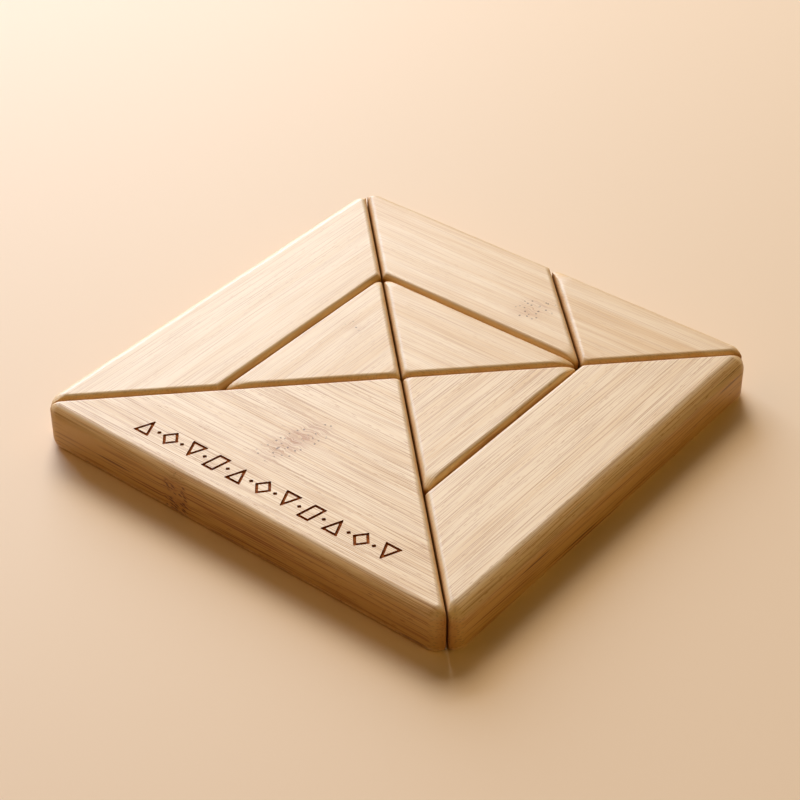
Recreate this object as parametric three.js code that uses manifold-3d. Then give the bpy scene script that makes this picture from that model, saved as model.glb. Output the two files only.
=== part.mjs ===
// An eight-block bamboo tangram, packed into its square and lying flat on a table.
// Millimetres, +Z up. The origin is under the middle of the square, at table height.
// +X runs along the front edge of the square, which is the long side of the large triangle.

import * as THREE from 'three';
import { ConvexGeometry } from 'three/addons/geometries/ConvexGeometry.js';
import { mergeVertices } from 'three/addons/utils/BufferGeometryUtils.js';
import Module from 'manifold-3d';

const wasm = await Module();
wasm.setup();

// Driving dimensions
const squareSide = 125;
const boardThickness = 12;
const seamGap = 0.4; // play between neighbouring blocks
const uprightRadius = 0.7; // upright corners, seen from above, at the walls
const faceGrowth = 0.9; // extra corner radius for every millimetre the round-over has gone in
const squareCut = 3.4; // how far the square's own corners stop short of a sharp corner
const squareRadius = 5.6; // and the bend that leads into each of them
const seamTipRadius = 0.7; // where that bend ends at the seam
const edgeStart = THREE.MathUtils.degToRad(25); // how steeply a round-over meets its face
const seamEdge = { width: 2.1, depth: 2.1 }; // round-over along the seams and all round the bottom
const outerEdge = { width: 4.2, depth: 3 }; // round the outside of the square
const trapezoidEdge = { width: 6.3, depth: 4.2 }; // and on the outside of each trapezoid
const cornerSteps = 5; // flats on each upright corner
const edgeSteps = 4; // flats on each round-over
const arcRoom = 0.999; // keeps two arcs on one side from quite touching

// The burned border on the large triangle: outlined figures with a dot between each two
const borderFigures = 11;
const borderPitch = 7.2;
const borderMiddle = new THREE.Vector2(2, -53.2);
const figureWidth = 4.8;
const figureHeight = 5.6;
const figureLean = 1.2; // how far the parallelogram's top is shifted
const strokeWidth = 0.7;
const dotWidth = 1.3;
const burnDepth = 0.35;
const cutterOvershoot = 1; // how far the cutters stand out of the top face

// The cuts follow a grid of four cells each way, counted from the middle of the square
const gridCell = (squareSide + seamGap) / 4;
const largeTriangle = [[-2, -2], [2, -2], [0, 0]];
const smallTriangle = [[0, 0], [1, 1], [-1, 1]];
const outerTriangle = [[0, 2], [1, 1], [2, 2]];
const trapezoid = [[-2, 2], [-2, -2], [-1, -1], [-1, 1]];
const parallelogram = [[-2, 2], [-1, 1], [1, 1], [0, 2]];

// Moves each side of a convex outline inwards by its own distance. Outlines run anticlockwise, and
// a side belongs to the corner it starts from.
function insetOutline(points, distances) {
  return points.map((corner, i) => {
    const before = (i + points.length - 1) % points.length;
    const toBefore = points[before].clone().sub(corner).normalize();
    const toAfter = points[(i + 1) % points.length].clone().sub(corner).normalize();
    const sine = Math.abs(toBefore.cross(toAfter));
    return corner.clone()
      .addScaledVector(toBefore, distances[i] / sine)
      .addScaledVector(toAfter, distances[before] / sine);
  });
}

// The corners of a block in millimetres, each with its radius at the wall, how fast that grows
// inwards, and the round-over of the side that starts there. The square's own corners are cut
// across, so each becomes two corners of the block.
function blockCorners(cells, longEdge) {
  const plain = cells.map(([x, y]) => new THREE.Vector2(x, y).multiplyScalar(gridCell));
  return plain.flatMap((corner, i) => {
    const [x, y] = cells[i];
    const [nextX, nextY] = cells[(i + 1) % cells.length];
    const outside = (x === nextX && Math.abs(x) === 2) || (y === nextY && Math.abs(y) === 2);
    const edge = outside ? longEdge : seamEdge;
    if (Math.abs(x) < 2 || Math.abs(y) < 2) {
      return [{ at: corner, radius: uprightRadius, growth: faceGrowth, edge }];
    }
    const neighbours = [plain[(i + plain.length - 1) % plain.length], plain[(i + 1) % plain.length]];
    return neighbours.map((neighbour, side) => {
      const way = neighbour.clone().sub(corner).normalize();
      const alongSeam = Math.abs(Math.abs(way.x) - Math.abs(way.y)) < 0.1;
      const bend = alongSeam
        ? { radius: seamTipRadius, growth: faceGrowth }
        : { radius: squareRadius, growth: -1 };
      const at = corner.clone().addScaledVector(way, alongSeam ? squareCut : squareCut * Math.SQRT2);
      return { at, ...bend, edge: side === 0 ? longEdge : edge };
    });
  });
}

// One ring round a block, at an angle into its round-overs: its sides moved in, its corners turned
// into arcs. Two arcs that don't fit on the side between them are shrunk until they do. Heights
// are counted from the face.
function blockRing(corners, edges, angle) {
  const insets = edges.map((edge) => edge.width * (1 - Math.sin(angle)));
  const drops = edges.map((edge) => edge.depth * (Math.cos(edgeStart) - Math.cos(angle)));
  const distances = insets.map((inset) => seamGap / 2 + inset);
  const points = insetOutline(corners.map((corner) => corner.at), distances);
  const bends = points.map((point, i) => {
    const before = (i + points.length - 1) % points.length;
    const toBefore = points[before].clone().sub(point).normalize();
    const toAfter = points[(i + 1) % points.length].clone().sub(point).normalize();
    const half = Math.acos(toBefore.dot(toAfter)) / 2;
    const radius = corners[i].radius + (corners[i].growth * (insets[before] + insets[i])) / 2;
    return { toBefore, toAfter, half, radius, reach: radius / Math.tan(half) };
  });
  const fits = points.map((point, i) => {
    const next = (i + 1) % points.length;
    return Math.min(1, point.distanceTo(points[next]) / (bends[i].reach + bends[next].reach));
  });
  return points.flatMap((point, i) => {
    const before = (i + points.length - 1) % points.length;
    const { toBefore, toAfter, half, radius } = bends[i];
    const bend = radius * Math.min(fits[i], fits[before]) * arcRoom;
    const bisector = toBefore.clone().add(toAfter).normalize();
    const centre = point.clone().addScaledVector(bisector, bend / Math.sin(half));
    const start = toBefore.angle() + Math.PI / 2;
    return Array.from({ length: cornerSteps + 1 }, (_, k) => {
      const turned = start + ((Math.PI - 2 * half) * k) / cornerSteps;
      const drop = THREE.MathUtils.lerp(drops[before], drops[i], k / cornerSteps);
      const spot = new THREE.Vector2(Math.cos(turned), Math.sin(turned)).multiplyScalar(bend).add(centre);
      return new THREE.Vector3(spot.x, spot.y, drop);
    });
  });
}

// The points of a block, on rings round its upper and its lower edge
function blockPoints(corners) {
  const upperEdges = corners.map((corner) => corner.edge);
  const lowerEdges = corners.map(() => seamEdge);
  const angles = Array.from({ length: edgeSteps + 1 }, (_, k) => (
    THREE.MathUtils.lerp(edgeStart, Math.PI / 2, k / edgeSteps)));
  const fromTop = ({ x, y, z }) => new THREE.Vector3(x, y, boardThickness - z);
  return angles.flatMap((angle) => [
    ...blockRing(corners, upperEdges, angle).map(fromTop),
    ...blockRing(corners, lowerEdges, angle),
  ]);
}

function solidOf(geometry) {
  const bare = geometry.clone();
  bare.deleteAttribute('normal');
  bare.deleteAttribute('uv');
  const merged = mergeVertices(bare);
  return new wasm.Manifold(new wasm.Mesh({
    numProp: 3,
    vertProperties: Float32Array.from(merged.attributes.position.array),
    triVerts: Uint32Array.from(merged.index.array),
  }));
}

function geometryOf(solid) {
  const mesh = solid.getMesh();
  const geometry = new THREE.BufferGeometry();
  geometry.setAttribute('position', new THREE.BufferAttribute(mesh.vertProperties, 3));
  geometry.setIndex(new THREE.BufferAttribute(mesh.triVerts, 1));
  geometry.computeVertexNormals();
  return geometry;
}

// One block of the board, from its corners in grid cells. It bulges everywhere, so the skin
// stretched over its rings is the block.
function blockGeometry(cells, longEdge = outerEdge) {
  return new ConvexGeometry(blockPoints(blockCorners(cells, longEdge)));
}

// The border's figures are the puzzle's own kinds of outline, each centred on its own middle
function figureOutline(kind) {
  const w = figureWidth / 2;
  const h = figureHeight / 2;
  const outlines = [
    [[-w, -h], [w, -h], [0, h]],
    [[0, -h], [w, 0], [0, h], [-w, 0]],
    [[-w, h], [0, -h], [w, h]],
    [[-w, -h], [w - figureLean, -h], [w, h], [figureLean - w, h]],
  ];
  return outlines[kind % outlines.length].map(([x, y]) => new THREE.Vector2(x, y));
}

function cutter(shape, x) {
  const geometry = new THREE.ExtrudeGeometry(shape, {
    depth: burnDepth + cutterOvershoot,
    bevelEnabled: false,
  });
  geometry.translate(borderMiddle.x + x, borderMiddle.y, boardThickness - burnDepth);
  return solidOf(geometry);
}

function outlinedFigure(kind) {
  const outline = figureOutline(kind);
  const shape = new THREE.Shape(outline);
  shape.holes.push(new THREE.Path(insetOutline(outline, outline.map(() => strokeWidth))));
  return shape;
}

function dot() {
  const r = dotWidth / 2;
  return new THREE.Shape([[0, -r], [r, 0], [0, r], [-r, 0]].map(([x, y]) => new THREE.Vector2(x, y)));
}

function largeTriangleGeometry() {
  let solid = solidOf(blockGeometry(largeTriangle));
  for (let i = 0; i < borderFigures; i += 1) {
    const x = (i - (borderFigures - 1) / 2) * borderPitch;
    solid = solid.subtract(cutter(outlinedFigure(i), x));
    if (i > 0) {
      solid = solid.subtract(cutter(dot(), x - borderPitch / 2));
    }
  }
  return geometryOf(solid);
}

// Every block is a separate piece of bamboo with its own tone
function block(name, geometry, color) {
  const material = new THREE.MeshStandardMaterial({ color, roughness: 0.55, metalness: 0 });
  const mesh = new THREE.Mesh(geometry, material);
  mesh.name = name;
  return mesh;
}

const tangram = new THREE.Group();

tangram.add(block('large_triangle', largeTriangleGeometry(), '#e6cda4'));

const parallelogramBlock = block('parallelogram', blockGeometry(parallelogram), '#dcbc8f');
tangram.add(parallelogramBlock);

// The two trapezoids are one shape, turned half round
const trapezoidGeometry = blockGeometry(trapezoid, trapezoidEdge);
const leftTrapezoid = block('left_trapezoid', trapezoidGeometry, '#e9d3ad');
const rightTrapezoid = block('right_trapezoid', trapezoidGeometry, '#e0c196');
rightTrapezoid.rotation.z = Math.PI;
tangram.add(leftTrapezoid, rightTrapezoid);

// The three small triangles round the middle are one shape
const triangleGeometry = blockGeometry(smallTriangle);
const backInnerTriangle = block('back_inner_triangle', triangleGeometry, '#e2c598');
const leftInnerTriangle = block('left_inner_triangle', triangleGeometry, '#e5cba0');
const rightInnerTriangle = block('right_inner_triangle', triangleGeometry, '#dfc194');
leftInnerTriangle.rotation.z = Math.PI / 2;
rightInnerTriangle.rotation.z = -Math.PI / 2;
tangram.add(backInnerTriangle, leftInnerTriangle, rightInnerTriangle);

// The fourth small triangle shares the rounding of the square's corner
tangram.add(block('corner_triangle', blockGeometry(outerTriangle), '#dbbb8c'));

export default tangram;
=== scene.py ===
# Eight-block bamboo tangram, packed into its square, on a pale floor
import math

import bmesh
import bpy
from mathutils import Matrix, Vector, noise


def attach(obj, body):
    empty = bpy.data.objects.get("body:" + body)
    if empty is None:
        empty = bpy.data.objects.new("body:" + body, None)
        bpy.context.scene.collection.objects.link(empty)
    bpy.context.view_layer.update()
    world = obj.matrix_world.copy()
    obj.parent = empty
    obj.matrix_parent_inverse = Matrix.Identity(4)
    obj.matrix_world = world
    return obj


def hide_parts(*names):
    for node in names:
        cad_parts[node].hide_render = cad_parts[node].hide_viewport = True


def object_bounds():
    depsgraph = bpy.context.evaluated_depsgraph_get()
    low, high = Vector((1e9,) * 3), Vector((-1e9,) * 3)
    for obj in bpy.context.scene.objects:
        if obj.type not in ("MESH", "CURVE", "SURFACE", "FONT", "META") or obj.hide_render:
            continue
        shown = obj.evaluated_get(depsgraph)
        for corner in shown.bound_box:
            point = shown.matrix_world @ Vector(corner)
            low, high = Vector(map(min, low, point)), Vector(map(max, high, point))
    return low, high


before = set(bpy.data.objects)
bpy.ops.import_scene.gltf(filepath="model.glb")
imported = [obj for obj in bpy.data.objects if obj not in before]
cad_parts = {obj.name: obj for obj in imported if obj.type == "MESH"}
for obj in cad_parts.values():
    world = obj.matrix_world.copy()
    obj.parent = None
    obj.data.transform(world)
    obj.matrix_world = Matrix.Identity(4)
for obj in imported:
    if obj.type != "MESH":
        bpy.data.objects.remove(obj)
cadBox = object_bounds()
mm = 0.001
print("frame loaded:", len(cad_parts), "blocks")


class Wire:  # a shader socket that can stand in a sum
    def __init__(self, bench, socket):
        self.bench = bench
        self.socket = socket

    def maths(self, operation, first, second=0.0):
        return self.bench.node("ShaderNodeMath", {"operation": operation}, {0: first, 1: second})

    def __add__(self, other):
        return self.maths("ADD", self, other)

    def __radd__(self, other):
        return self.maths("ADD", other, self)

    def __sub__(self, other):
        return self.maths("SUBTRACT", self, other)

    def __rsub__(self, other):
        return self.maths("SUBTRACT", other, self)

    def __mul__(self, other):
        return self.maths("MULTIPLY", self, other)

    def __rmul__(self, other):
        return self.maths("MULTIPLY", other, self)

    def __abs__(self):
        return self.maths("ABSOLUTE", self)

    def most(self, other):
        return self.maths("MAXIMUM", self, other)

    def rise(self, low, high):  # 0 up to low, 1 from high on, smooth between
        sockets = {"Value": self, "From Min": low, "From Max": high}
        return self.bench.node("ShaderNodeMapRange", {"interpolation_type": "SMOOTHSTEP"}, sockets)


class Bench:  # one material in the making
    def __init__(self, name):
        self.material = bpy.data.materials.new(name)
        self.material.use_nodes = True
        self.tree = self.material.node_tree
        self.tree.nodes.clear()

    def node(self, kind, settings=None, sockets=None, output=0):
        made = self.tree.nodes.new(kind)
        for key, value in (settings or {}).items():
            setattr(made, key, value)
        for key, value in (sockets or {}).items():
            if isinstance(value, Wire):
                self.tree.links.new(value.socket, made.inputs[key])
            else:
                made.inputs[key].default_value = value
        return Wire(self, made.outputs[output]) if len(made.outputs) else None

    def vector(self, operation, first, second=(0.0, 0.0, 0.0)):
        return self.node("ShaderNodeVectorMath", {"operation": operation}, {0: first, 1: second})

    def combine(self, x, y, z):
        return self.node("ShaderNodeCombineXYZ", {}, {0: x, 1: y, 2: z})

    def split(self, vector):
        parts = self.node("ShaderNodeSeparateXYZ", {}, {0: vector}).socket.node.outputs
        return [Wire(self, part) for part in parts]

    def blend(self, under, over, share, mode="MIX"):  # two colours
        settings = {"data_type": "RGBA", "blend_type": mode}
        return self.node("ShaderNodeMix", settings, {0: share, 6: under, 7: over}, 2)

    def surface(self, sockets):
        shader = self.node("ShaderNodeBsdfPrincipled", {}, sockets)
        self.node("ShaderNodeOutputMaterial", {}, {"Surface": shader})
        return self.material


def paint(red, green, blue):  # an sRGB colour, 0 to 255, as linear light
    shares = [value / 255 for value in (red, green, blue)]
    return (*[s / 12.92 if s <= 0.04045 else ((s + 0.055) / 1.055) ** 2.4 for s in shares], 1.0)


bamboo = {
    "pale": paint(246, 227, 199),
    "warm": paint(227, 193, 146),
    "fibre": paint(174, 116, 48),
    "dark": paint(120, 72, 34),
    # edge and flank: painted shade down the round-overs and walls, a slight warm tint at the top
    # and darker brown at the wall, partly also sanded edges taking up more oil
    "edge": paint(255, 244, 218),
    "flank": paint(219, 198, 148),  # the dark end of that painted shade, on the walls
    "endGrain": paint(214, 176, 132),
    "bundle": paint(84, 46, 20),
    "haze": paint(176, 112, 58),
    "speck": paint(92, 46, 20),
    "honey": paint(206, 160, 92),
    "roughness": 0.44,
    "relief": 0.05 * mm,
    "bump": 0.5,
}

grain = {  # how many of each there are to a millimetre, along the grain and across it
    "wave": (0.012, 0.04),
    "ripple": (0.28, 0.35),
    "bands": (0.004, 0.2),
    "fine": (0.05, 4.5),
    "groves": (0.012, 0.3),
    "longLines": (0.010, 1.3),
    "lines": (0.016, 2.0),
    "shortLines": (0.035, 3.1),
    "deepLines": (0.012, 0.5),
    "pores": (0.13, 1.5),
    "bundles": (0.08, 2.2),
    "patches": (0.3, 0.5),
    "dashes": (0.5, 1.5),
    "dots": (0.5, 0.6),
    "scratches": (0.16, 2.6),
    "scorch": (0.15, 3.0),
}


def streaks(bench, place, kind, shift, detail=3.0):  # noise drawn out along the grain
    along, across = grain[kind]
    stretched = bench.vector("MULTIPLY", place, (along, across, across))
    moved = bench.vector("ADD", stretched, (shift, 3.1 * shift, 7.7 * shift))
    return bench.node("ShaderNodeTexNoise", {}, {"Vector": moved, "Scale": 1.0, "Detail": detail})


# Small separate marks, one in each stretched cell: tapering lines, dashes or dots
def flecks(bench, place, kind, shift, width, dimensions="2D"):
    along, across = grain[kind]
    stretched = bench.vector("MULTIPLY", place, (along, across, across))
    moved = bench.vector("ADD", stretched, (shift, 5.3 * shift, 2.9 * shift))
    settings = {"voronoi_dimensions": dimensions}
    distance = bench.node("ShaderNodeTexVoronoi", settings, {"Vector": moved, "Scale": 1.0})
    return 1 - distance.rise(width * 0.45, width)


def hazeOf(bench, place, mark):  # 1 in the middle of a node mark, 0 outside it
    x, y, z = bench.split(bench.vector("SUBTRACT", place, mark["centre"]))
    leaning = bench.combine(x - y * mark["lean"], y, z)
    scaled = bench.vector("DIVIDE", leaning, mark["size"])
    reach = bench.node("ShaderNodeVectorMath", {"operation": "LENGTH"}, {0: scaled}, "Value")
    return (1 - reach.rise(0.0, 1.0)) * mark["strength"]


# Board coordinates in millimetres: along the grain, across it, and up
def bambooMaterial(name, look):
    bench = Bench(name)
    shift = look["shift"]
    position = bench.node("ShaderNodeTexCoord", {}, {}, "Object")
    normal = bench.node("ShaderNodeTexCoord", {}, {}, "Normal")
    x, y, z = bench.split(bench.vector("MULTIPLY", position, (1000, 1000, 1000)))
    facing = bench.split(normal)
    along, across = (x, y) if look["grain"] == "x" else (y, x)
    slope = abs(facing[0] if look["grain"] == "x" else facing[1])
    cut = slope.rise(0.1, 0.4)  # where the fibres are cut across rather than lying in the face
    endOn = slope.rise(0.35, 0.85)
    flank = bench.node("ShaderNodeAttribute", {"attribute_name": "flank"}, {}, "Fac")
    straight = bench.combine(along, across, z)

    haze = 0.0
    for mark in look["marks"]:
        haze = hazeOf(bench, straight, mark) + haze
    wave = streaks(bench, straight, "wave", shift, 1.0) - 0.5
    ripple = (streaks(bench, straight, "ripple", shift + 20, 2.0) - 0.5) * haze
    swayed = across + wave * 1.4 + ripple * 4.0
    place = bench.combine(along, swayed, z + wave)
    sheets = bench.combine(along, swayed + z * look["lean"], 0.0)  # fibres lie in leaning sheets

    bands = streaks(bench, place, "bands", shift + 1, 2.0).rise(0.3, 0.7)
    fine = (streaks(bench, place, "fine", shift + 2) - 0.5) * (1 - cut * 0.8)
    grove = streaks(bench, place, "groves", shift + 9, 2.0).rise(0.36, 0.6)
    longLines = flecks(bench, sheets, "longLines", shift + 3, 0.18) * (grove * 0.5 + 0.5)
    middleLines = flecks(bench, sheets, "lines", shift + 7, 0.26) * (1 - grove * 0.4) * 0.85
    shortLines = flecks(bench, sheets, "shortLines", shift + 4, 0.3) * 0.6
    lines = longLines.most(middleLines).most(shortLines)
    pores = flecks(bench, sheets, "pores", shift + 13, 0.13) * (1 - grove)
    bundles = flecks(bench, place, "bundles", shift + 5, 0.46, "3D")

    warmth = bands * 0.45 + fine * (look["figure"] * 2) + (look["warmth"] - 0.1)
    colour = bench.blend(bamboo["pale"], bamboo["warm"], warmth.rise(0.0, 1.0))
    fibres = lines.most(pores) * (1 - cut * 0.85) * look["figure"]
    colour = bench.blend(colour, bamboo["fibre"], fibres)
    colour = bench.blend(colour, bamboo["endGrain"], endOn * 0.6, "MULTIPLY")
    colour = bench.blend(colour, bamboo["bundle"], bundles * cut * (flank * 0.15 + 0.12))
    # Painted shade: round-overs and walls warmer and darker towards the wall, partly also oiled
    # sanded edges
    colour = bench.blend(colour, bamboo["edge"], flank.rise(0.0, 0.2), "MULTIPLY")
    colour = bench.blend(colour, bamboo["flank"], flank.rise(0.35, 1.0), "MULTIPLY")
    deep = flecks(bench, sheets, "deepLines", shift + 12, 0.09) * flank * (1 - cut)
    colour = bench.blend(colour, bamboo["dark"], deep * 0.8)
    if look["marks"]:
        patches = streaks(bench, straight, "patches", shift + 15, 1.0).rise(0.42, 0.52)
        wall = bench.combine(along, z + x * 0.3, 0.0)
        dashes = flecks(bench, wall, "dashes", shift + 10, 0.42) * flank
        dots = flecks(bench, sheets, "dots", shift + 6, 0.18) * (1 - flank)
        specks = dots.most(dashes) * patches * haze.rise(0.15, 0.35)
        scratches = streaks(bench, place, "scratches", shift + 14).rise(0.46, 0.66)
        colour = bench.blend(colour, bamboo["honey"], haze * flank * 0.5)
        colour = bench.blend(colour, bamboo["haze"], haze * (scratches * 0.55 + 0.22))
        colour = bench.blend(colour, bamboo["speck"], specks * 0.9)

    height = fine * 0.5 - lines * (1 - cut) * 0.5 - bundles * cut * 0.7
    depths = {"Strength": bamboo["bump"], "Distance": bamboo["relief"]}
    bump = bench.node("ShaderNodeBump", {}, {**depths, "Height": height})
    roughness = fine * 0.16 + bamboo["roughness"] + endOn * 0.12
    return bench.surface({"Base Color": colour, "Roughness": roughness, "Normal": bump})


burned = {
    "char": paint(124, 58, 18),
    "toast": paint(176, 104, 48),
    "roughness": 0.85,
    "shine": 0.1,
    "relief": 0.08 * mm,
    "bump": 0.6,
}


def burnedMaterial(look):
    bench = Bench("burnedBamboo")
    position = bench.node("ShaderNodeTexCoord", {}, {}, "Object")
    place = bench.vector("MULTIPLY", position, (1000, 1000, 1000))
    scorch = streaks(bench, place, "scorch", look["shift"] + 8).rise(0.35, 0.65)
    colour = bench.blend(burned["char"], burned["toast"], scorch)
    depths = {"Strength": burned["bump"], "Distance": burned["relief"]}
    bump = bench.node("ShaderNodeBump", {}, {**depths, "Height": scorch})
    dull = {"Roughness": burned["roughness"], "Specular IOR Level": burned["shine"]}
    return bench.surface({"Base Color": colour, "Normal": bump, **dull})


board = {
    "side": (cadBox[1] - cadBox[0])[0] / mm,
    "thickness": (cadBox[1] - cadBox[0])[2] / mm,
    "gap": 0.4,
    "uprightRadius": 0.7,  # upright corners at the walls
    "faceGrowth": 0.9,  # extra corner radius for every millimetre the round-over has gone in
    "squareCut": 3.4,  # how far the square's own corners stop short of a sharp corner
    "squareRadius": 5.6,  # the bend that leads into each of them
    "squareGrowth": -1.0,  # and how fast that bend tightens inwards
    "seamTipRadius": 0.7,  # where it ends at the seam
    "arcRoom": 0.999,  # keeps two arcs on one side from quite touching
    "arcAllowance": 6,  # length of a side that its two arcs take up
    "edgeStart": math.radians(25),  # how steeply a round-over meets its face
    "seamEdge": (2.1, 2.1),  # width and depth of the round-over along seams and round the bottom
    "outerEdge": (4.2, 3.0),  # round the outside of the square
    "trapezoidEdge": (6.3, 4.2),  # and on the outside of each trapezoid
    "softness": 0.3,  # how far the edge between face and round-over is rubbed down
    "faceMargin": 0.12,  # from that edge to the last ring on the face
    "cornerSteps": 12,
    "rubSteps": 4,
    "edgeSteps": 10,
    "wallSteps": 4,
    "sideStep": 1.2,
    "sharpFrom": math.radians(32),
    "wobble": 0.08,  # hand sanding: how much the round-over varies
    "wobbleScale": 0.11,
    "wobbleLevel": 4.0,  # sets the wobble of the top apart from that of the bottom
    "dish": 0.03,  # how hollow the sanded walls are
    "dishScale": 0.05,
    "dishRise": 0.2,
}
cell = (board["side"] + board["gap"]) / 4


# Moves each side of a convex outline inwards by its own distance; outlines run anticlockwise, and a
# side belongs to the corner it starts from
def insetCorners(corners, distances):
    moved = []
    for i, corner in enumerate(corners):
        toBefore = (corners[i - 1] - corner).normalized()
        toAfter = (corners[(i + 1) % len(corners)] - corner).normalized()
        sine = abs(toBefore.cross(toAfter))
        back = distances[i] / sine
        forward = distances[i - 1] / sine
        moved.append(corner + toBefore * back + toAfter * forward)
    return moved


# Corners of a block, each with its radius at the wall, how fast that grows inwards, and the
# round-over of the side that starts there. The square's own corners are cut across, so each
# becomes two corners of the block
def blockCorners(cells, longEdge):
    plain = [Vector(place) * cell for place in cells]
    corners = []
    for i, corner in enumerate(plain):
        following = cells[(i + 1) % len(cells)]
        outside = any(here == there and abs(here) == 2 for here, there in zip(cells[i], following))
        edge = board[longEdge] if outside else board["seamEdge"]
        if min(abs(cells[i][0]), abs(cells[i][1])) < 2:
            corners.append((corner, board["uprightRadius"], board["faceGrowth"], edge))
            continue
        sides = ((plain[i - 1], board[longEdge]), (plain[(i + 1) % len(plain)], edge))
        for neighbour, sideEdge in sides:
            way = (neighbour - corner).normalized()
            diagonal = min(abs(way.x), abs(way.y)) > 0.5  # a seam, not a side of the square
            if diagonal:
                at = corner + way * board["squareCut"]
                corners.append((at, board["seamTipRadius"], board["faceGrowth"], sideEdge))
            else:
                at = corner + way * board["squareCut"] * math.sqrt(2)
                corners.append((at, board["squareRadius"], board["squareGrowth"], sideEdge))
    return corners


# The arc at every corner, shrunk where two arcs don't fit on the side between them
def cornerArcs(points, radii, steps):
    bends = []
    for i, point in enumerate(points):
        toBefore = (points[i - 1] - point).normalized()
        toAfter = (points[(i + 1) % len(points)] - point).normalized()
        bends.append((toBefore, toAfter, toBefore.angle(toAfter) / 2))
    reaches = [radius / math.tan(bend[2]) for radius, bend in zip(radii, bends)]
    fits = []
    for i, point in enumerate(points):
        j = (i + 1) % len(points)
        fits.append(min(1.0, (points[j] - point).length / (reaches[i] + reaches[j])))
    arcs = []
    for i, (toBefore, toAfter, half) in enumerate(bends):
        radius = radii[i] * min(fits[i], fits[i - 1]) * board["arcRoom"]
        centre = points[i] + (toBefore + toAfter).normalized() * (radius / math.sin(half))
        start = math.atan2(toBefore.y, toBefore.x) + math.pi / 2
        angles = [start + (math.pi - 2 * half) * k / steps for k in range(steps + 1)]
        arcs.append([centre + Vector((math.cos(a), math.sin(a))) * radius for a in angles])
    return arcs


# A round-over from the face down to the board's waist, as one step for each ring of the block: how
# far in, how far up from the waist, and how much it counts as flank
def edgeProfile(edge):
    width, depth = edge
    waist = board["thickness"] / 2
    begin = board["edgeStart"]
    rubbed = begin + board["softness"] / depth

    def onCurve(angle):
        drop = depth * (math.cos(begin) - math.cos(angle))
        return Vector((width * (1 - math.sin(angle)), waist - drop))

    arris = onCurve(begin)
    below = onCurve(rubbed)
    flat = arris + Vector((board["softness"], 0))
    profile = [(flat.x + board["faceMargin"], waist, 0.0)]
    for k in range(board["rubSteps"]):  # rubs the crisp edge down along a short curve
        share = k / board["rubSteps"]
        point = flat.lerp(arris, share).lerp(arris.lerp(below, share), share)
        profile.append((point.x, point.y, 0.0))
    for k in range(board["edgeSteps"] + 1):
        share = k / board["edgeSteps"]
        point = onCurve(rubbed + (math.pi / 2 - rubbed) * share)
        profile.append((point.x, point.y, share))
    wallTop = profile[-1][1]
    for k in range(1, board["wallSteps"]):
        profile.append((0.0, wallTop * (1 - k / board["wallSteps"]), 1.0))
    return profile


# One ring round a block, from how far in and how high each side has it: points with their height.
# The straight sides are divided evenly between their arcs
def blockRing(corners, levels, sideCounts):
    insets = [inset for inset, height, flank in levels]
    distances = [board["gap"] / 2 + inset for inset in insets]
    points = insetCorners([corner[0] for corner in corners], distances)
    radii = [c[1] + c[2] * (insets[i - 1] + insets[i]) / 2 for i, c in enumerate(corners)]
    arcs = cornerArcs(points, radii, board["cornerSteps"])
    ring = []
    for i, arc in enumerate(arcs):
        before, after = levels[i - 1][1], levels[i][1]
        for k, spot in enumerate(arc):
            ring.append((spot, before + (after - before) * k / board["cornerSteps"]))
        following = arcs[(i + 1) % len(arcs)][0]
        for k in range(1, sideCounts[i]):
            ring.append((arc[-1].lerp(following, k / sideCounts[i]), after))
    return ring


def swayAt(spot, height):  # how much wider or narrower the round-over is here
    level = math.copysign(board["wobbleLevel"], height)
    scale = board["wobbleScale"]
    return board["wobble"] * noise.noise(Vector((spot.x * scale, spot.y * scale, level)))


def hollowAt(spot, height):  # how deep the wall is sanded here
    scale = board["dishScale"]
    place = Vector((spot.x * scale, spot.y * scale, height * board["dishRise"]))
    return board["dish"] * (1 + noise.noise(place)) / 2


def blockMesh(name, cells, longEdge):
    corners = blockCorners(cells, longEdge)
    outline = [corner[0] for corner in corners]
    sideCounts = []
    for i, at in enumerate(outline):
        length = (outline[(i + 1) % len(outline)] - at).length
        sideCounts.append(max(1, round((length - board["arcAllowance"]) / board["sideStep"])))
    upper = [edgeProfile(corner[3]) for corner in corners]
    waistLevel = (0.0, 0.0, 1.0)
    stages = [list(levels) for levels in zip(*upper)]
    stages.append([waistLevel] * len(corners))
    for inset, height, flank in reversed(edgeProfile(board["seamEdge"])):
        stages.append([(inset, -height, flank)] * len(corners))
    made = bmesh.new()
    flankLayer = made.verts.layers.float.new("flank")
    wall = [spot for spot, height in blockRing(corners, [waistLevel] * len(corners), sideCounts)]
    middle = sum(outline, Vector((0, 0))) / len(outline)
    rings = []
    for levels in stages:
        flank = levels[0][2]
        ring = []
        for spot, (place, height) in zip(wall, blockRing(corners, levels, sideCounts)):
            moved = place + (place - spot) * swayAt(spot, height)
            if flank == 1.0:
                moved += (middle - spot).normalized() * hollowAt(spot, height)
            up = height + board["thickness"] / 2
            vert = made.verts.new((moved.x * mm, moved.y * mm, up * mm))
            vert[flankLayer] = flank
            ring.append(vert)
        rings.append(ring)
    for upperRing, lowerRing in zip(rings, rings[1:]):
        bridge(made, upperRing, lowerRing)
    made.faces.new(rings[0])
    made.faces.new(reversed(rings[-1]))
    made.normal_update()
    mesh = bpy.data.meshes.new(name)
    made.to_mesh(mesh)
    made.free()
    mesh.shade_smooth()
    mesh.set_sharp_from_angle(angle=board["sharpFrom"])
    return mesh


def bridge(made, above, below):  # a band of faces between two closed loops
    for i in range(len(above)):
        j = (i + 1) % len(above)
        made.faces.new((above[i], below[i], below[j], above[j]))


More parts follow.
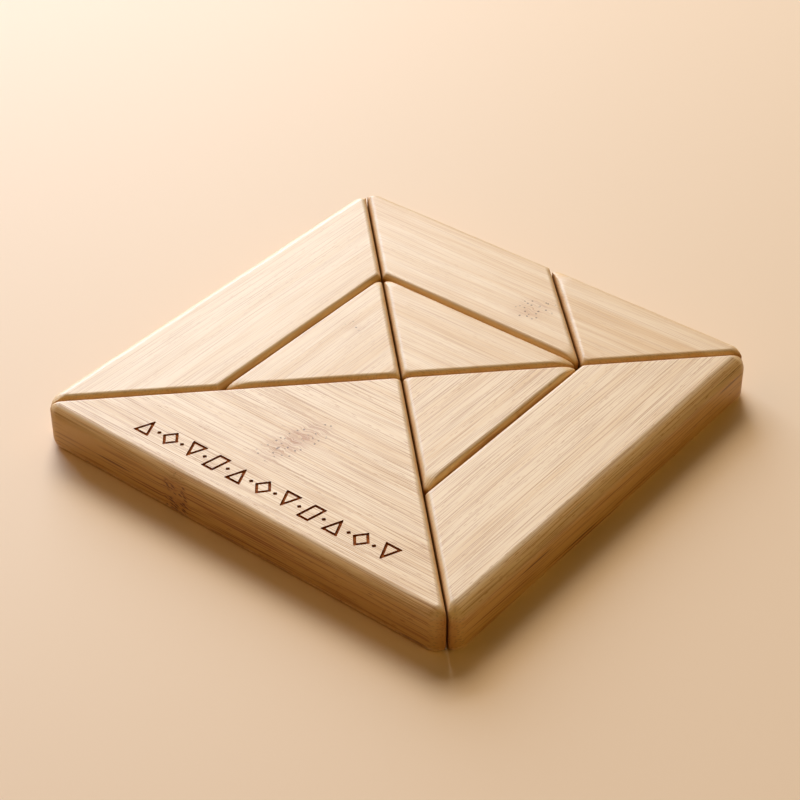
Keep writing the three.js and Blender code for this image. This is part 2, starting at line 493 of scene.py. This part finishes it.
border = {  # a row of small outlines burned along the front edge, with a dot between each two
    "figures": 11,
    "pitch": 7.2,
    "middle": Vector((2.0, -53.2)),
    "width": 4.8,
    "height": 5.6,
    "lean": 1.2,
    "stroke": 0.7,
    "dot": 1.3,
    "depth": 0.35,
    "overshoot": 1,  # how far the cutter stands out of the face
    "rounding": 0.22,
    "roundingSteps": 5,
}


def borderFigure(kind):
    w, h, lean = border["width"] / 2, border["height"] / 2, border["lean"]
    outlines = [
        [(-w, -h), (w, -h), (0, h)],
        [(0, -h), (w, 0), (0, h), (-w, 0)],
        [(-w, h), (0, -h), (w, h)],
        [(-w, -h), (w - lean, -h), (w, h), (lean - w, h)],
    ]
    return [Vector(corner) for corner in outlines[kind % len(outlines)]]


# A closed loop of the cutter above the face and one at the bottom of the burn
def cutterLoop(made, corners, middle, radius):
    top = board["thickness"]
    arcs = cornerArcs(corners, [radius] * len(corners), border["roundingSteps"])
    spots = [spot + middle for arc in arcs for spot in arc]
    rings = []
    for height in (top + border["overshoot"], top - border["depth"]):
        rings.append([made.verts.new((spot.x * mm, spot.y * mm, height * mm)) for spot in spots])
    return rings


def borderCutter():
    made = bmesh.new()
    for i in range(border["figures"]):
        x = (i - (border["figures"] - 1) / 2) * border["pitch"]
        middle = border["middle"] + Vector((x, 0))
        outer = borderFigure(i)
        outerTop, outerBottom = cutterLoop(made, outer, middle, border["rounding"])
        inner = insetCorners(outer, [border["stroke"]] * len(outer))
        innerTop, innerBottom = cutterLoop(made, inner, middle, border["rounding"] / 2)
        bridge(made, outerBottom, outerTop)
        bridge(made, innerTop, innerBottom)
        bridge(made, outerTop, innerTop)
        bridge(made, innerBottom, outerBottom)
        if i > 0:
            r = border["dot"] / 2
            diamond = [Vector(corner) for corner in ((0, -r), (r, 0), (0, r), (-r, 0))]
            before = middle - Vector((border["pitch"] / 2, 0))
            dotTop, dotBottom = cutterLoop(made, diamond, before, border["rounding"])
            bridge(made, dotBottom, dotTop)
            made.faces.new(dotTop)
            made.faces.new(reversed(dotBottom))
    bmesh.ops.recalc_face_normals(made, faces=made.faces)
    mesh = bpy.data.meshes.new("borderCutter")
    made.to_mesh(mesh)
    made.free()
    return mesh


def cutBorder(piece, material):
    cutterMesh = borderCutter()
    cutterMesh.materials.append(material)
    cutter = bpy.data.objects.new("borderCutter", cutterMesh)
    bpy.context.scene.collection.objects.link(cutter)
    carve = piece.modifiers.new("burn", "BOOLEAN")
    carve.operation = "DIFFERENCE"
    carve.solver = "EXACT"
    carve.material_mode = "TRANSFER"
    carve.object = cutter
    bpy.context.view_layer.update()
    evaluated = piece.evaluated_get(bpy.context.evaluated_depsgraph_get())
    carved = bpy.data.meshes.new_from_object(evaluated)
    piece.modifiers.clear()
    piece.data = carved
    bpy.data.objects.remove(cutter)
    carved.set_sharp_from_angle(angle=board["sharpFrom"])


blocks = {
    "large_triangle": {
        "corners": [(-2, -2), (2, -2), (0, 0)], "longEdge": "outerEdge",
        "grain": "x", "shift": 3.0, "figure": 0.85, "lean": 0.45, "warmth": 0.15,
        "marks": [
            {"centre": (-3.5, -36.0, 12.0), "size": (6.5, 15.0, 5.0), "lean": 0.2, "strength": 1.2},
            {"centre": (-17.0, -62.5, 5.0), "size": (5.5, 3.0, 12.0), "lean": 0.0, "strength": 1.0},
        ],
    },
    "left_trapezoid": {
        "corners": [(-2, 2), (-2, -2), (-1, -1), (-1, 1)], "longEdge": "trapezoidEdge",
        "grain": "y", "shift": 11.0, "figure": 0.42, "lean": 0.45, "warmth": 0.1,
        "marks": [],
    },
    "parallelogram": {
        "corners": [(-2, 2), (-1, 1), (1, 1), (0, 2)], "longEdge": "outerEdge",
        "grain": "x", "shift": 17.0, "figure": 0.36, "lean": -0.45, "warmth": 0.3,
        "marks": [
            {"centre": (9.0, 43.0, 12.0), "size": (7.5, 9.0, 4.0), "lean": 0.2, "strength": 0.7},
        ],
    },
    "corner_triangle": {
        "corners": [(0, 2), (1, 1), (2, 2)], "longEdge": "outerEdge",
        "grain": "x", "shift": 23.0, "figure": 0.4, "lean": -0.45, "warmth": 0.4,
        "marks": [],
    },
    "left_inner_triangle": {
        "corners": [(0, 0), (-1, 1), (-1, -1)], "longEdge": "outerEdge",
        "grain": "y", "shift": 31.0, "figure": 0.5, "lean": 0.45, "warmth": 0.2,
        "marks": [
            {"centre": (9.0, -22.0, 12.0), "size": (5.0, 8.0, 4.0), "lean": 0.0, "strength": 0.3},
        ],
    },
    "back_inner_triangle": {
        "corners": [(0, 0), (1, 1), (-1, 1)], "longEdge": "outerEdge",
        "grain": "x", "shift": 41.0, "figure": 0.42, "lean": 0.45, "warmth": 0.25,
        "marks": [],
    },
    "right_inner_triangle": {
        "corners": [(0, 0), (1, -1), (1, 1)], "longEdge": "outerEdge",
        "grain": "y", "shift": 53.0, "figure": 0.75, "lean": 0.45, "warmth": 0.2,
        "marks": [],
    },
    "right_trapezoid": {
        "corners": [(2, -2), (2, 2), (1, 1), (1, -1)], "longEdge": "trapezoidEdge",
        "grain": "y", "shift": 61.0, "figure": 0.75, "lean": -0.45, "warmth": 0.05,
        "marks": [],
    },
}

for node, look in blocks.items():
    name = node.replace("_", " ").title().replace(" ", "") + "Block"
    piece = bpy.data.objects.new(name, blockMesh(name, look["corners"], look["longEdge"]))
    bpy.context.scene.collection.objects.link(piece)
    piece.data.materials.append(bambooMaterial(name, look))
    if node == "large_triangle":
        cutBorder(piece, burnedMaterial(look))
    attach(piece, node)
    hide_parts(node)
    print("block made:", name, len(piece.data.polygons), "faces")


studio = {
    "azimuth": 38.43,
    "elevation": 37.27,
    "distance": 0.5175,
    "lens": 94.3,
    "aimRight": -0.0004,
    "aimUp": 0.0034,
    "floor": (0.94, 0.76, 0.57, 1.0),
    "floorRoughness": 0.6,
    "floorReach": 4.0,
    "floorDrop": 0.02 * mm,  # keeps the floor out of the blocks' undersides
    "skyStrength": 0.0,  # the lamps give all the light
    "lights": [  # name, azimuth, elevation, distance, size, power in each colour
        ("highWindow", 225, 44, 3.0, 1.2, (40.0, 32.5, 23.0)),
        ("lowWindow", 238, 22, 2.0, 1.3, (29.0, 34.0, 41.5)),
        ("backWindow", 205, 35, 1.3, 0.9, (2.4, 2.0, 1.6)),
        ("sideWindow", 262, 25, 1.2, 0.8, (1.9, 1.7, 1.5)),
        ("bounceLeft", 315, 35, 1.2, 0.8, (1.7, 0.9, 0.32)),
        ("bounceRight", 80, 35, 1.2, 0.8, (2.35, 1.45, 0.33)),
    ],
}


def bearing(azimuth, elevation):  # from the square towards something standing there
    a, e = math.radians(azimuth), math.radians(elevation)
    return Vector((math.sin(a) * math.cos(e), -math.cos(a) * math.cos(e), math.sin(e)))


def standAt(thing, target, away, distance):
    right = Vector((0, 0, 1)).cross(away).normalized()
    up = away.cross(right)
    turned = Matrix((right, up, away)).transposed().to_4x4()
    thing.matrix_world = Matrix.Translation(target + away * distance) @ turned
    bpy.context.scene.collection.objects.link(thing)


away = bearing(studio["azimuth"], studio["elevation"])
right = Vector((0, 0, 1)).cross(away).normalized()
target = right * studio["aimRight"] + away.cross(right) * studio["aimUp"]
cameraData = bpy.data.cameras.new("camera")
cameraData.lens = studio["lens"]
camera = bpy.data.objects.new("camera", cameraData)
standAt(camera, target, away, studio["distance"])
bpy.context.scene.camera = camera

for lightName, azimuth, elevation, distance, size, powers in studio["lights"]:
    lightData = bpy.data.lights.new(lightName, "AREA")
    lightData.size = size
    lightData.energy = max(powers)
    lightData.color = [power / max(powers) for power in powers]
    lamp = bpy.data.objects.new(lightName, lightData)
    standAt(lamp, Vector((0, 0, 0)), bearing(azimuth, elevation), distance)

world = bpy.data.worlds.new("sky")
world.use_nodes = True
world.node_tree.nodes["Background"].inputs["Strength"].default_value = studio["skyStrength"]
bpy.context.scene.world = world
bpy.context.scene.view_settings.view_transform = "Standard"

floorMesh = bpy.data.meshes.new("floor")
reach = studio["floorReach"]
floorCorners = [(-reach, -reach, 0), (reach, -reach, 0), (reach, reach, 0), (-reach, reach, 0)]
floorMesh.from_pydata(floorCorners, [], [(0, 1, 2, 3)])
floor = bpy.data.objects.new("floor", floorMesh)
floor.location.z = -studio["floorDrop"]
bpy.context.scene.collection.objects.link(floor)
floorBench = Bench("paleFloor")
floorPaint = {"Base Color": studio["floor"], "Roughness": studio["floorRoughness"]}
floorMesh.materials.append(floorBench.surface(floorPaint))
print("studio set")
